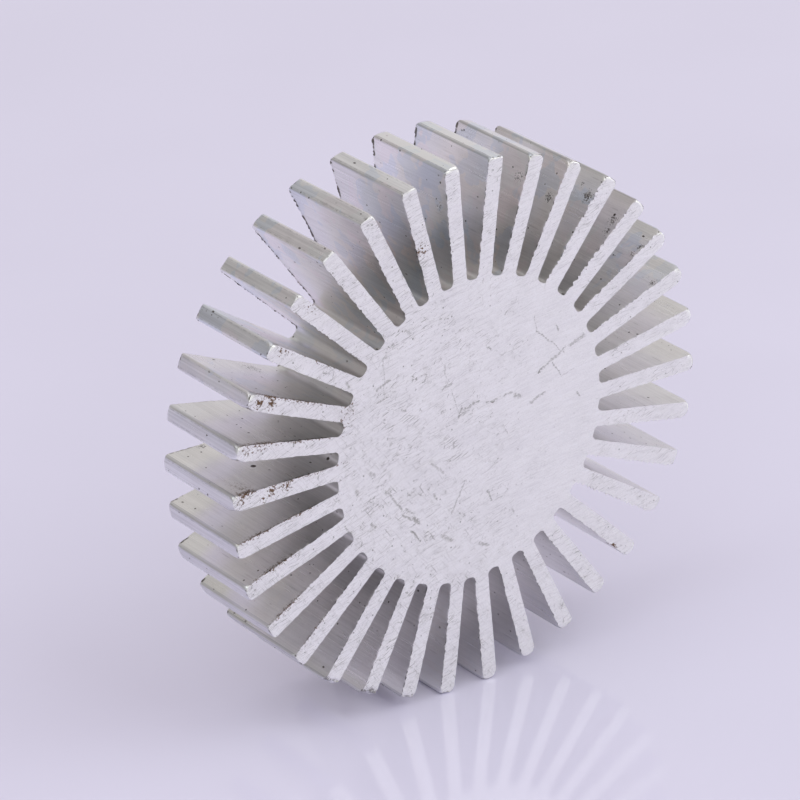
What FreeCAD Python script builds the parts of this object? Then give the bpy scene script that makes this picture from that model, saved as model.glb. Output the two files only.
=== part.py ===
import FreeCAD, Part
import math
import os

import Sketcher

# An extruded aluminium heat sink: a solid round core with straight radial fins, sawn off
# square at both ends. It is one piece. The extrusion runs along Y and the front sawn
# face looks along -Y. The heat sink stands on the tips of the two fins beside its lowest
# slot, so +Z is up. The origin lies on the axis of the extrusion, half way between the
# two sawn faces. Lengths are millimetres.

SIZES = (
    ("tip_diameter", 60.0, "across two opposite fin tips"),
    ("core_diameter", 34.1, "across the floors of two opposite slots"),
    ("cut_length", 12.4, "between the two sawn faces"),
    ("fin_count", 34, "fins round the core"),
    ("fin_root_thickness", 1.7, "one fin where it leaves the core"),
    ("fin_tip_thickness", 1.78, "one fin at its tip"),
    ("slot_corner_radius", 0.55, "between a fin's flank and the slot's floor"),
    ("tip_corner_radius", 0.25, "on the two corners of a fin tip"),
)

# The most of a wall that one rounding takes up, and how far below the axis the outline
# of the slot closes, as a share of the tip diameter.
ROUNDING_SHARE = 0.9
MOUTH_REACH = 0.6

# The numbers by which a sketch knows the points of an element, the origin and the
# vertical axis.
START = 1
END = 2
CENTRE = 3
ORIGIN = (-1, 1)
VERTICAL = -2

UPRIGHT = FreeCAD.Vector(0, 0, 1)


def make_sheet(doc):
    """The driving dimensions, one to a row: name, value and meaning."""
    sheet = doc.addObject("Spreadsheet::Sheet", "Sizes")
    for row, (alias, value, meaning) in enumerate(SIZES, start=1):
        sheet.set(f"A{row}", alias)
        sheet.set(f"B{row}", str(value))
        sheet.set(f"C{row}", meaning)
        sheet.setAlias(f"B{row}", alias)
    doc.recompute()
    return sheet


def origin_part(body, role):
    """One of the body's own origin planes or axes, by its role."""
    return next(item for item in body.Origin.OriginFeatures if item.Role == role)


def sketch_across(body, name):
    """A sketch across the extrusion: its x is the part's X and its y is the part's Z."""
    sketch = body.newObject("Sketcher::SketchObject", name)
    sketch.AttachmentSupport = [(origin_part(body, "XZ_Plane"), "")]
    sketch.MapMode = "FlatFace"
    return sketch


def add(sketch, *terms):
    """Add one constraint to a sketch and give its number."""
    return sketch.addConstraint(Sketcher.Constraint(*terms))


def dimension(sketch, formula, *terms):
    """Add one dimension to a sketch and bind it to a formula of the sheet's cells."""
    sketch.setExpression(f"Constraints[{add(sketch, *terms)}]", formula)


def circle(radius, centre=FreeCAD.Vector(0, 0, 0)):
    """A circle in a sketch's plane."""
    return Part.Circle(centre, UPRIGHT, radius)


def arc(radius, centre, start, end):
    """An arc drawn counter-clockwise from one direction out of its centre to another."""
    first = math.atan2(start.y, start.x)
    last = math.atan2(end.y, end.x)
    return Part.ArcOfCircle(circle(radius, centre), first, last)


def mirrored(vector):
    """The same point or direction on the left of the vertical axis."""
    return FreeCAD.Vector(-vector.x, vector.y, 0)


def draw_blank(body, sheet):
    """The bar before its slots are cut: a plain round section."""
    sketch = sketch_across(body, "blank_section")
    rim = sketch.addGeometry(circle(sheet.tip_diameter / 2), False)
    add(sketch, "Coincident", rim, CENTRE, *ORIGIN)
    dimension(sketch, "Sizes.tip_diameter", "Diameter", rim, sheet.tip_diameter)
    return sketch


def draw_slot(body, sheet):
    """The slot between two fins, straight below the axis.

    Its level floor touches the core circle. Each flank runs beside the centre line of
    its fin, half the fin's thickness away at the core and at the tip. A rounding joins
    flank and floor, and another takes the corner off the fin's tip, where it ends
    square to the tip circle. Outside the fins the outline closes in the open. The
    right half is dimensioned and the left half mirrors it.
    """
    sketch = sketch_across(body, "slot_section")
    core = sheet.core_diameter / 2
    tip = sheet.tip_diameter / 2
    angle = math.pi / sheet.fin_count
    floor_half = core * math.sin(angle) - sheet.fin_root_thickness / 2 * math.cos(angle)
    root_radius = min(sheet.slot_corner_radius, ROUNDING_SHARE * floor_half)
    end_radius = min(sheet.tip_corner_radius, ROUNDING_SHARE * sheet.fin_tip_thickness / 2)

    # The right fin's own directions: out along its centre line, and aside into the slot.
    out = FreeCAD.Vector(math.sin(angle), -math.cos(angle), 0)
    aside = FreeCAD.Vector(-math.cos(angle), -math.sin(angle), 0)
    up = FreeCAD.Vector(0, 1, 0)

    # The flank's two ends and the centres of its roundings, near enough for the
    # constraints below to bring them home.
    flank_in = out * core + aside * (sheet.fin_root_thickness / 2)
    flank_out = out * tip + aside * (sheet.fin_tip_thickness / 2)
    root_centre = flank_in + (out + aside) * root_radius
    end_centre = flank_out - (out + aside) * end_radius
    close = out * (MOUTH_REACH * 2 * tip)

    right_points = (
        root_centre + up * root_radius,
        root_centre - aside * root_radius,
        end_centre + aside * end_radius,
        end_centre + out * end_radius,
        close,
    )
    left_points = [mirrored(corner) for corner in right_points]
    floor_right, flank_top, flank_bottom, mouth, far = right_points
    floor_left, left_top, left_bottom, left_mouth_start, left_far = left_points

    # The outline, drawn counter-clockwise from the floor.
    outline = [
        Part.LineSegment(floor_right, floor_left),
        arc(root_radius, mirrored(root_centre), up, mirrored(-aside)),
        Part.LineSegment(left_top, left_bottom),
        arc(end_radius, mirrored(end_centre), mirrored(out), mirrored(aside)),
        Part.LineSegment(left_mouth_start, left_far),
        Part.LineSegment(left_far, far),
        Part.LineSegment(far, mouth),
        arc(end_radius, end_centre, aside, out),
        Part.LineSegment(flank_bottom, flank_top),
        arc(root_radius, root_centre, -aside, up),
    ]
    (floor, left_root, left_flank, left_end, left_mouth,
     closing, right_mouth, right_end, right_flank, right_root) = sketch.addGeometry(outline, False)

    guides = [circle(tip), circle(core), Part.LineSegment(out * tip, out * core)]
    tips, cores, fin_line = sketch.addGeometry(guides, True)

    for first, first_point, second, second_point in (
        (floor, END, left_root, START),
        (left_root, END, left_flank, START),
        (left_flank, END, left_end, END),
        (right_end, START, right_flank, START),
        (right_flank, END, right_root, START),
        (right_root, END, floor, START),
    ):
        add(sketch, "Tangent", first, first_point, second, second_point)
    for first, first_point, second, second_point in (
        (left_end, START, left_mouth, START),
        (left_mouth, END, closing, START),
        (closing, END, right_mouth, START),
        (right_mouth, END, right_end, END),
    ):
        add(sketch, "Coincident", first, first_point, second, second_point)

    # The guides: the tip circle, the core circle and the right fin's centre line.
    for guide in (tips, cores):
        add(sketch, "Coincident", guide, CENTRE, *ORIGIN)
    dimension(sketch, "Sizes.tip_diameter", "Diameter", tips, 2 * tip)
    dimension(sketch, "Sizes.core_diameter", "Diameter", cores, 2 * core)
    add(sketch, "PointOnObject", fin_line, START, tips)
    add(sketch, "PointOnObject", fin_line, END, cores)
    add(sketch, "PointOnObject", *ORIGIN, fin_line)
    dimension(sketch, "180 deg / Sizes.fin_count", "Angle", VERTICAL, fin_line, angle)

    # The right half, from its guides.
    add(sketch, "Tangent", floor, cores)
    dimension(sketch, "Sizes.fin_tip_thickness / 2",
              "Distance", fin_line, START, right_flank, sheet.fin_tip_thickness / 2)
    dimension(sketch, "Sizes.fin_root_thickness / 2",
              "Distance", fin_line, END, right_flank, sheet.fin_root_thickness / 2)
    floor_half_formula = (
        "(Sizes.core_diameter / 2 * sin(180 deg / Sizes.fin_count)"
        " - Sizes.fin_root_thickness / 2 * cos(180 deg / Sizes.fin_count))"
    )
    dimension(sketch,
              f"min(Sizes.slot_corner_radius; {ROUNDING_SHARE} * {floor_half_formula})",
              "Radius", right_root, root_radius)
    dimension(sketch,
              f"min(Sizes.tip_corner_radius; {ROUNDING_SHARE} * Sizes.fin_tip_thickness / 2)",
              "Radius", right_end, end_radius)
    add(sketch, "PointOnObject", right_end, END, tips)

    # The open mouth: each side points at the axis, square to the tip's rounding.
    for side, rounding in ((right_mouth, right_end), (left_mouth, left_end)):
        add(sketch, "PointOnObject", *ORIGIN, side)
        add(sketch, "PointOnObject", rounding, CENTRE, side)
    add(sketch, "Horizontal", closing)
    dimension(sketch, f"{MOUTH_REACH} * Sizes.tip_diameter",
              "DistanceY", closing, START, *ORIGIN, MOUTH_REACH * 2 * tip)

    # The left half is the right half's mirror image.
    add(sketch, "Symmetric", floor, START, floor, END, VERTICAL)
    add(sketch, "Symmetric", right_flank, START, left_flank, END, VERTICAL)
    add(sketch, "Equal", right_root, left_root)
    add(sketch, "Equal", right_end, left_end)
    return sketch


def make_heat_sink(doc, sheet):
    """The round bar, one slot cut through it, and that slot repeated round the axis."""
    body = doc.addObject("PartDesign::Body", "heat_sink")
    body.Label = "heat_sink"

    blank = body.newObject("PartDesign::Pad", "blank")
    blank.Profile = draw_blank(body, sheet)
    blank.SideType = "Symmetric"
    blank.setExpression("Length", "Sizes.cut_length")
    doc.recompute()

    slot = body.newObject("PartDesign::Pocket", "slot")
    slot.Profile = draw_slot(body, sheet)
    slot.SideType = "Symmetric"
    slot.Type = "ThroughAll"
    doc.recompute()

    slots = body.newObject("PartDesign::PolarPattern", "slots")
    slots.Originals = [slot]
    slots.Axis = (origin_part(body, "Y_Axis"), [""])
    slots.Angle = 360
    slots.setExpression("Occurrences", "Sizes.fin_count")
    body.Tip = slots
    doc.recompute()
    return body


def check(doc, body):
    """Stop before anything is written if an object failed or the slots cut nothing."""
    failed = [item.Label for item in doc.Objects if {"Invalid", "Error"} & set(item.State)]
    if failed:
        raise RuntimeError(f"these objects failed: {failed}")
    loose = [item.Label for item in doc.Objects
             if item.TypeId == "Sketcher::SketchObject" and not item.FullyConstrained]
    if loose:
        raise RuntimeError(f"these sketches are not fully constrained: {loose}")
    shape = body.Shape
    if shape.isNull() or not shape.isValid() or len(shape.Solids) != 1:
        raise RuntimeError("the heat sink is not one valid solid")
    if shape.Volume >= doc.getObject("blank").Shape.Volume:
        raise RuntimeError("the slots cut nothing")


def main():
    """Build the heat sink and write its STEP file."""
    doc = FreeCAD.newDocument("heat_sink")
    sheet = make_sheet(doc)
    body = make_heat_sink(doc, sheet)
    check(doc, body)
    os.makedirs("parts", exist_ok=True)
    body.Shape.exportStep(os.path.join("parts", f"{body.Label}.step"))
    section = body.Shape.Volume / sheet.cut_length
    print(f"{body.Label}: {body.Shape.Volume:.1f} mm3, section {section:.1f} mm2")


main()
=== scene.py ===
import math

import bpy
import numpy as np
from mathutils import Matrix, Vector


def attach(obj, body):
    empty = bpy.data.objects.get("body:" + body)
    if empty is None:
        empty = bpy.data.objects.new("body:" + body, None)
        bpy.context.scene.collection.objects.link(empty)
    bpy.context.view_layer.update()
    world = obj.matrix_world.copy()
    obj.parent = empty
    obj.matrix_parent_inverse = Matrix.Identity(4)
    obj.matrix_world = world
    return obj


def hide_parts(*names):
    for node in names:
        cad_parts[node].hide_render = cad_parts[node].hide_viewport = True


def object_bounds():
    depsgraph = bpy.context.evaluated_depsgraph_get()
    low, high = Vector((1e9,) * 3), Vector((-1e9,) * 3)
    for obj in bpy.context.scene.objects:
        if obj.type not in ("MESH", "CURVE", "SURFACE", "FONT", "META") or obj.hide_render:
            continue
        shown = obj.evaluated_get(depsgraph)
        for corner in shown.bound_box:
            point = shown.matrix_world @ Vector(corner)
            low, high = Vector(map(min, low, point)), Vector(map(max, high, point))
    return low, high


bl_info = {
    "name": "Radial Heat Sink",
    "version": (1, 0, 0),
    "blender": (4, 5, 0),
    "location": "3D Viewport > Sidebar > Heat Sink",
    "description": "A sawn slice of radial aluminium extrusion on a pale glossy table",
    "category": "Object",
}

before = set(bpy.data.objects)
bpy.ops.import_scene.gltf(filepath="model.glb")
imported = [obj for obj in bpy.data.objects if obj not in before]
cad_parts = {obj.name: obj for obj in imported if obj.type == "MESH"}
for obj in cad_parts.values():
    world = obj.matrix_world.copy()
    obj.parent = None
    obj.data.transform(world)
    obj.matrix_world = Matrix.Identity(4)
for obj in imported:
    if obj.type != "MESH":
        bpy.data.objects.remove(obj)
CAD_LOW, CAD_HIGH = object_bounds()

NODE = "heat_sink"
MM = 0.001

# The extrusion runs along Y, the front sawn face looks along -Y and +Z is up. Fins are
# numbered clockwise as the camera sees them, and fin 1 is the first one left of the
# highest slot. On a fin, u runs out along its centre line, v runs sideways and
# clockwise, and y is the part's own Y. Numbers in these tables are millimetres.

# How the outline of one fin is divided: the corner of its tip, its flank, the round at
# its root, half of the slot's floor, and straight across the fin.
TIP_STEPS = 4
FLANK_STEPS = 70
ROOT_STEPS = 5
FLOOR_STEPS = 2
ACROSS_STEPS = 4

# How far each row of the side lies from the nearer sawn face.
EDGE_ROWS = (0.0, 0.05, 0.15, 0.35, 0.8)

# The rings that fill the core face, as shares of the inner ring's radius.
RING_SHARE = 0.975
FRONT_RINGS = 14
BACK_RINGS = 6

# The seed of everything ragged, and how far over the core's radius a fin's height starts.
SEED = 11
HEIGHT_FROM = 0.6

# The blade's centre, the radius at which its angle is counted in millimetres, the
# spacing of the waves that it left, for both sawn faces, their depth, and the share and
# start of a slower wave.
BLADE_X = 22.0
BLADE_Z = -118.0
BLADE_REACH = 120.0
BLADE_WAVE = 1.7
BLADE_DEPTH = 0.006
SLOW_WAVE = (0.37, 0.6)

# Ragged edges: the usual value, the spread, the least and the most. The burr's are shares
# of its size. The dashes are painted shadow and dirt under the burr, and the land edges
# are painted shade; both are shares of the grime's colour. Then how far dashes crowd,
# over how many neighbours, and the share of a dash at the back that only an edge with a
# burr has.
FRONT_BURR = (0.5, 0.5, -0.2, 1.5)
BACK_BURR = (0.9, 0.5, 0.0, 1.8)
FRONT_DASH = (-0.15, 0.55, 0.0, 0.42)
BACK_DASH = (0.45, 0.6, 0.0, 1.0)
LAND_EDGE_SHADE = (0.1, 0.35, 0.0, 0.8)
CROWDING = 0.45
CROWD_PASSES = 12
UNDER_BURR = 0.75

# How much of the burr and of the dark rim (painted shadow and dirt under the burr, painted
# shade on the lands) each of the first rows has, how far a flank may look away from the
# blade and still get a burr, the fins on the right, from one to before the other, whose
# burr is coarser, and by what factor. Then how far every sawn edge is set back, how
# unevenly, and how uneven the lands are.
BURR_ROWS = (1, 0.90, 0.12, 0)
RIM_ROWS = (0.6, 1, 0.70, 0)
BURR_TURN = 0.25
COARSE_BURR = (5, 14, 2.2)
EDGE_SUNK = 0.02
EDGE_WEAR = 0.012
LAND_WEAR = 0.012

# The fins whose land is dark along its front edge, from one to before the other, and how
# dark: painted shade on the rounded front edge. It starts left of the middle, at this share
# of half the land.
OUTLINED = (3, 13, 0.90)
OUTLINED_FROM = 0.35

# The rounding that wear left on both sawn ends of every tip: least and most radius in
# front and at the back, its slopes, what of it the middle of a land has and its corners
# have more, and how rough it is.
WORN_FRONT = (0.12, 0.30)
WORN_BACK = (0.18, 0.42)
WORN_SLOPES = (32, 62)
WORN_BOW = (0.6, 0.9)
WORN_ROUGH = 0.03

# The corners of the front ends: least and most wear, the slopes of the planes that cut
# them, how much these planes look outwards, how far inside the corner they lie, and how
# rough they are. Two lots of fins, from one to before the other, are worn more: those on
# the right on the whole front end, and those on the left at the corners alone.
WORN_CORNER = (0.25, 0.60)
WORN_CORNER_SLOPES = (25, 45, 65)
CORNER_SLANT = 0.9
CORNER_INSIDE = 0.66
CORNER_ROUGH = 0.02
WORN_RIGHT = (4, 12, 0.14)
WORN_LEFT = (26, 31, 0.20)

# Front corners of fin tips that a knock has flattened: fin, depth, slope in degrees from
# the sawn face, tilt in degrees to the left or right corner, how rough the flat is, and
# how dirty.
KNOCKED = (
    (22, 0.50, 48, 0, 0.12, 0.34),
    (21, 0.62, 45, 0, 0.14, 0.42),
    (20, 0.34, 40, 10, 0.10, 0.45),
    (19, 0.16, 40, 0, 0.05, 0.5),
    (1, 0.32, 77, -26, 0.03, 0.05),
    (1, 0.20, 50, 0, 0.05, 0.1),
    (0, 0.10, 50, -15, 0.04, 0.1),
    (2, 0.16, 50, 0, 0.05, 0.2),
    (3, 0.14, 50, 12, 0.05, 0.2),
    (23, 0.14, 45, 0, 0.05, 0.4),
    (17, 0.10, 45, 0, 0.04, 0.3),
    (15, 0.16, 45, 0, 0.04, 0.2),
    (12, 0.10, 45, 0, 0.04, 0.2),
)

# How rough and how wavy a knocked flat is, in shares of its own roughness, how many
# radians of that wave are in a millimetre, the depth from which it is as dirty as it
# gets, and the share of that dirt it has at least.
KNOCK_ROUGH = 0.5
KNOCK_WAVE = (0.8, 4.0)
KNOCK_DIRTY = 0.2
KNOCK_LEAST = 0.3

# Fins that lean: fin, how far clockwise at the tip, and the shares of its height between
# which it bends. All others lean a little, by this much at most.
LEANING = (
    (25, 0.40, 0.12, 0.85),
    (2, 0.09, 0.50, 1.00),
    (5, 0.10, 0.65, 1.00),
    (9, -0.07, 0.20, 0.80),
    (14, 0.06, 0.30, 1.00),
    (18, -0.10, 0.10, 0.80),
    (19, 0.07, 0.70, 1.00),
    (20, -0.11, 0.35, 0.80),
    (21, -0.12, 0.15, 0.70),
    (24, 0.06, 0.60, 1.00),
    (29, 0.08, 0.60, 1.00),
    (33, -0.05, 0.60, 1.00),
)
SLIGHT_LEAN = 0.02

# By fin: how far it ends past the tip circle, or short of it, and how much lighter or
# darker its skin is than the others', as a factor.
REACHING = {
    0: -0.12, 6: -0.08, 7: -0.10, 15: -0.22, 16: -0.15, 17: -0.20, 20: -0.10, 23: -0.10,
    25: 0.28, 30: -0.10, 31: 0.12, 32: 0.14, 33: 0.08,
}
TONES = {
    0: 0.95, 1: 1.07, 2: 1.04, 3: 1.01, 4: 0.99, 5: 0.97, 6: 0.90, 7: 0.95, 9: 1.04,
    13: 1.03, 14: 1.04, 18: 1.05, 19: 1.16, 20: 1.03, 21: 0.96, 22: 0.96, 23: 0.95,
    24: 1.03, 25: 1.04, 28: 0.98, 31: 1.04, 33: 0.95,
}

# Brown stains on the front sawn edges: fin, u, v, reach along u, v and y, and strength.
STAINS = (
    (29, 28.6, -0.05, 0.52, 0.46, 0.30, 1.25),
    (29, 27.1, 0.10, 0.56, 0.50, 0.30, 1.25),
    (29, 27.5, 0.60, 0.60, 0.30, 0.30, 0.60),
    (29, 27.6, 1.0, 1.80, 0.22, 0.45, 1.10),
    (29, 23.0, 0.95, 5.00, 0.16, 0.30, 0.85),
    (28, 28.7, 0.1, 0.70, 0.55, 0.35, 0.62),
    (28, 27.0, 0.3, 0.70, 0.50, 0.30, 0.50),
    (28, 26.6, 1.0, 3.20, 0.26, 0.60, 0.90),
    (28, 21.2, 0.95, 4.50, 0.16, 0.30, 0.75),
    (27, 28.8, 0.3, 0.80, 0.50, 0.40, 0.80),
    (27, 28.2, 1.0, 1.30, 0.26, 0.70, 1.15),
    (27, 25.2, 0.3, 0.55, 0.60, 0.35, 0.85),
    (27, 23.4, 0.3, 0.80, 0.50, 0.35, 0.80),
    (27, 26.3, -0.3, 0.40, 0.50, 0.35, 0.70),
    (27, 21.0, 0.95, 5.00, 0.16, 0.30, 0.75),
    (26, 27.7, 0.95, 2.50, 0.20, 0.40, 0.85),
    (26, 22.8, 0.95, 4.00, 0.16, 0.30, 0.75),
    (25, 26.2, 0.9, 3.50, 0.26, 0.40, 0.70),
    (24, 27.2, 0.9, 2.50, 0.30, 0.40, 0.65),
    (23, 26.2, 0.9, 2.50, 0.22, 0.35, 0.45),
    (30, 28.3, 0.4, 1.20, 0.60, 0.30, 0.45),
    (30, 23.8, 0.9, 4.00, 0.16, 0.25, 0.50),
    (31, 27.8, 0.4, 1.50, 0.60, 0.30, 0.30),
    (0, 22.9, -0.9, 0.80, 0.20, 0.35, 0.80),
    (0, 22.9, 0.0, 0.90, 0.60, 0.25, 0.45),
    (29, 17.1, 0.0, 0.80, 1.60, 0.30, 0.55),
    (14, 27.1, 0.95, 0.45, 0.18, 0.50, 1.80),
)

# Speckled grime on the flanks, and single dark specks: fin, u, v, y, reach, strength.
GRIME = (
    (3, 27.2, -0.9, -5.0, 1.30, 0.80),
    (4, 25.5, -0.9, -5.1, 0.95, 1.05),
    (5, 27.1, -0.9, -5.2, 1.30, 1.05),
    (5, 28.0, -0.9, -3.6, 0.60, 0.80),
    (6, 26.7, -0.9, -5.2, 1.10, 1.00),
    (6, 25.4, -0.9, -5.4, 0.90, 0.90),
    (7, 27.0, -0.9, -5.7, 0.90, 0.90),
    (7, 25.9, -0.9, -5.6, 0.80, 0.90),
    (8, 26.5, -0.9, -5.7, 0.90, 0.90),
    (1, 25.6, -0.9, -4.7, 1.20, 0.65),
    (27, 25.7, 0.9, 5.7, 1.10, 0.80),
    (30, 23.9, 0.9, 6.2, 2.20, 0.70),
    (29, 22.2, 0.9, 4.2, 3.00, 0.62),
)
SPECKS = (
    (29, 26.3, 0.9, 5.4, 0.26, 1.00),
    (29, 21.7, 0.9, -1.4, 0.15, 0.70),
    (29, 18.6, 0.9, 4.5, 0.16, 1.00),
    (29, 21.5, 0.9, 0.5, 0.18, 1.00),
    (28, 26.2, 0.9, -0.6, 0.15, 0.90),
    (28, 24.5, 0.9, 0.8, 0.17, 0.90),
    (28, 26.3, 0.9, -1.5, 0.13, 0.80),
    (28, 26.4, 0.9, -3.0, 0.18, 0.90),
    (28, 23.4, 0.9, 2.9, 0.14, 0.90),
    (28, 21.1, 0.9, -2.9, 0.13, 0.80),
    (27, 24.1, 0.9, -1.3, 0.42, 1.00),
    (27, 17.0, 0.9, -4.6, 0.42, 1.00),
    (1, 28.4, -0.9, -5.2, 0.18, 0.90),
    (1, 26.3, -0.9, -4.3, 0.14, 0.80),
    (2, 29.3, -0.9, -4.9, 0.14, 0.80),
    (5, 23.1, -0.9, -5.9, 0.18, 0.90),
    (6, 27.3, -0.9, -4.9, 0.24, 1.00),
    (32, 17.7, -0.9, -4.7, 0.20, 1.00),
    (31, 30.0, -0.1, -4.8, 0.20, 1.00),
    (30, 30.0, 0.4, -4.8, 0.14, 0.80),
    (14, 27.8, 0.9, -4.7, 0.30, 1.00),
    (14, 28.2, 0.9, -4.2, 0.30, 1.00),
)

# Marks on the front core face: from x and z to x and z, reach to each side, and darkness.
MARKS = (
    (-1.75, 1.95, -1.25, 2.95, 0.26, 0.8),
    (-1.45, 2.25, -0.35, 2.45, 0.34, 0.6),
    (-0.9, 2.85, 1, 3.15, 0.28, 0.65),
    (-1.3, 3, -0.6, 2.3, 0.2, 0.5),
    (1.9, 2.75, 3.37, 2.75, 0.24, 0.6),
    (2.6, 2.62, 3.1, 2.6, 0.32, 1),
    (4.16, 2.9, 5.25, 2.99, 0.24, 0.57),
    (5.64, 2.6, 6.44, 2.3, 0.47, 0.59),
    (7.82, 1.2, 9.6, 1.79, 0.36, 0.52),
    (8.81, 4.33, 9.11, 4.57, 0.27, 0.95),
    (9.11, 4.57, 12.28, 6.25, 0.32, 0.52),
    (12.97, 6.35, 14.75, 7.04, 0.53, 0.5),
    (8.12, 10.93, 8.41, 9.14, 0.14, 0.42),
    (8.41, 9.14, 9.4, 8.35, 0.22, 0.66),
    (9.4, 8.35, 12.18, 5.66, 0.14, 0.51),
    (10.59, 4.97, 11.88, 3.08, 0.15, 0.59),
    (11.88, 3.08, 13.46, 3.57, 0.14, 0.34),
    (13.96, 0.59, 14.26, 0.2, 0.26, 0.66),
    (1.88, 9.06, 2.57, 8.56, 0.22, 0.62),
    (10.99, 9.14, 11.29, 8.54, 0.22, 0.62),
    (-11.39, 11.27, -11.19, 6.6, 0.14, 0.47),
    (-12.08, 7.99, -10.49, 8.59, 0.32, 0.62),
    (-12.08, 6.51, -11.19, 6.7, 0.26, 0.62),
    (-3.56, 8.37, -3.27, 5.99, 0.13, 0.42),
    (-3.76, 5.79, -2.67, 5.99, 0.36, 0.57),
    (-2.67, 5.39, -1.78, 2.91, 0.14, 0.42),
    (-9.01, 4.91, -8.51, 4.61, 0.27, 0.62),
    (-10.99, -3.82, -8.91, -6.41, 0.29, 0.66),
    (-8.8, -7.1, -7.6, -8.1, 0.28, 0.7),
    (-7.55, -7.9, -6.85, -8.5, 0.5, 0.8),
    (-8.4, -6.6, -7.4, -7.4, 0.22, 0.6),
    (-7.72, -9.29, -6.58, -10.73, 0.26, 0.95),
    (-3.56, -11.08, -2.37, -11.88, 0.51, 0.54),
    (1.19, -13.33, 2.28, -13.78, 0.42, 0.63),
    (5.55, -10.61, 5.75, -10.91, 0.36, 0.47),
    (2.28, -7.42, 2.72, -8.72, 0.26, 0.66),
    (-0.74, -5.43, -2.47, -8.7, 0.26, 0.52),
    (-4.75, -5.92, -4.45, -6.52, 0.32, 0.66),
    (-12.77, -6.99, -12.38, -7.49, 0.42, 0.68),
    (-16.14, -6.29, -15.74, -7.19, 0.22, 0.62),
    (-15.94, 9.79, -15.64, 9.19, 0.29, 0.62),
    (-5.15, -2.24, -3.56, -3.74, 0.29, 0.47),
    (4.06, -0.48, 4.85, -1.77, 0.14, 0.42),
    (-8.61, 13.55, -8.02, 13.15, 0.51, 0.45),
    (-13.07, -1.24, -12.47, -1.53, 0.51, 0.5),
)

# Roughness of the finishes, and how deep their relief is, in millimetres.
SAWN_ROUGHNESS = (0.46, 0.56)
SKIN_ROUGHNESS = 0.27
LAND_ROUGHNESS = 0.28
GROOVE_STRETCH = 0.8
ARC_DEPTH = 0.009
SAW_LINE_DEPTH = 0.003
SAWN_GRAIN_DEPTH = 0.006
SKIN_LINE_DEPTH = 0.002
LAND_LINE_DEPTH = 0.006
BROAD_LINE_DEPTH = 0.012
SCUFF_DEPTH = 0.002
DIRT_DEPTH = 0.02
DAMAGE_COLOUR = (0.30, 0.29, 0.25)

# The stage, in metres, and how high over the horizon the backdrop turns grey, as the
# sine of the height.
TABLE_HALF = 4.0
TABLE_ROUGHNESS = (0.06, 0.10)
TABLE_IOR = 1.45
PALE_UP_TO = 0.02
GREY_FROM = 0.16
CAMERA_PLACE = (-0.256939, -0.339477, 0.195523)
CAMERA_LOOK = (0.542698, 0.730165, -0.415136)
CAMERA_ROLL = 0.1487
CAMERA_LENS = 201.509
CAMERA_SENSOR = 36.0
CAMERA_REACH = (0.01, 20.0)

# The lamps: name, place and width in metres, and the setting that holds the power.
LAMPS = (
    ("front_lamp", (0.416, -0.893, 1.261), 0.9, "front_power"),
    ("left_lamp", (-0.970, -0.171, 1.261), 1.2, "left_power"),
    ("right_lamp", (1.394, -0.507, 0.599), 0.8, "right_power"),
    ("low_lamp", (-0.742, -1.285, 0.599), 1.1, "low_power"),
)
LAMP_COLOUR = (0.94, 1, 1)


def length_setting(name, description, default):
    """A length that the user may change."""
    return bpy.props.FloatProperty(
        name=name,
        description=description,
        default=default,
        unit="LENGTH",
        subtype="DISTANCE",
        precision=5,
    )


def colour_setting(name, description, default):
    """A colour that the user may change."""
    return bpy.props.FloatVectorProperty(
        name=name,
        description=description,
        default=default,
        size=3,
        min=0,
        max=1,
        subtype="COLOR",
    )


def power_setting(name, description, default):
    """A lamp's power that the user may change."""
    return bpy.props.FloatProperty(
        name=name, description=description, default=default, min=0, unit="POWER"
    )


class SizeSettings(bpy.types.PropertyGroup):
    """Sizes of the heat sink."""

    tip_diameter: length_setting(
        "Tip diameter", "Across two opposite fin tips", CAD_HIGH.x - CAD_LOW.x
    )
    core_diameter: length_setting(
        "Core diameter", "Across the floors of two opposite slots", 34.1 * MM
    )
    cut_length: length_setting(
        "Cut length", "Between the two sawn faces", CAD_HIGH.y - CAD_LOW.y
    )
    fin_count: bpy.props.IntProperty(
        name="Fins", description="Fins round the core", default=34, min=8
    )
    root_thickness: length_setting(
        "Fin at root", "Thickness of a fin where it leaves the core", 1.7 * MM
    )
    tip_thickness: length_setting("Fin at tip", "Thickness of a fin at its tip", 1.78 * MM)
    root_radius: length_setting(
        "Root radius", "Round between a flank and the floor of its slot", 0.55 * MM
    )
    corner_radius: length_setting(
        "Tip corner radius", "Round on the two corners of a fin tip", 0.25 * MM
    )
    burr: length_setting(
        "Saw burr", "How far the saw pushed metal sideways over the edges", 0.09 * MM
    )


class FinishSettings(bpy.types.PropertyGroup):
    """Colours of the metal and of what lies on it, and of the painted shade along the burr and
    the land edges.
    """

    sawn_colour: colour_setting(
        "Sawn face", "Bright aluminium that the saw laid open", (0.962, 0.957, 0.935)
    )
    skin_colour: colour_setting(
        "Extruded skin", "Greyer aluminium that came out of the die", (0.893, 0.882, 0.869)
    )
    tip_colour: colour_setting(
        "Fin tip", "Duller aluminium on the lands of the fin tips", (0.80, 0.80, 0.81)
    )
    stain_colour: colour_setting(
        "Stain", "Brown stain near the fin tips", (0.19, 0.120, 0.070)
    )
    # Also the colour of the painted shadow under the burr and the painted shade on the land
    # edges.
    grime_and_shade_colour: colour_setting(
        "Grime", "Dark dirt in scratches and pits", (0.115, 0.095, 0.082)
    )


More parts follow.
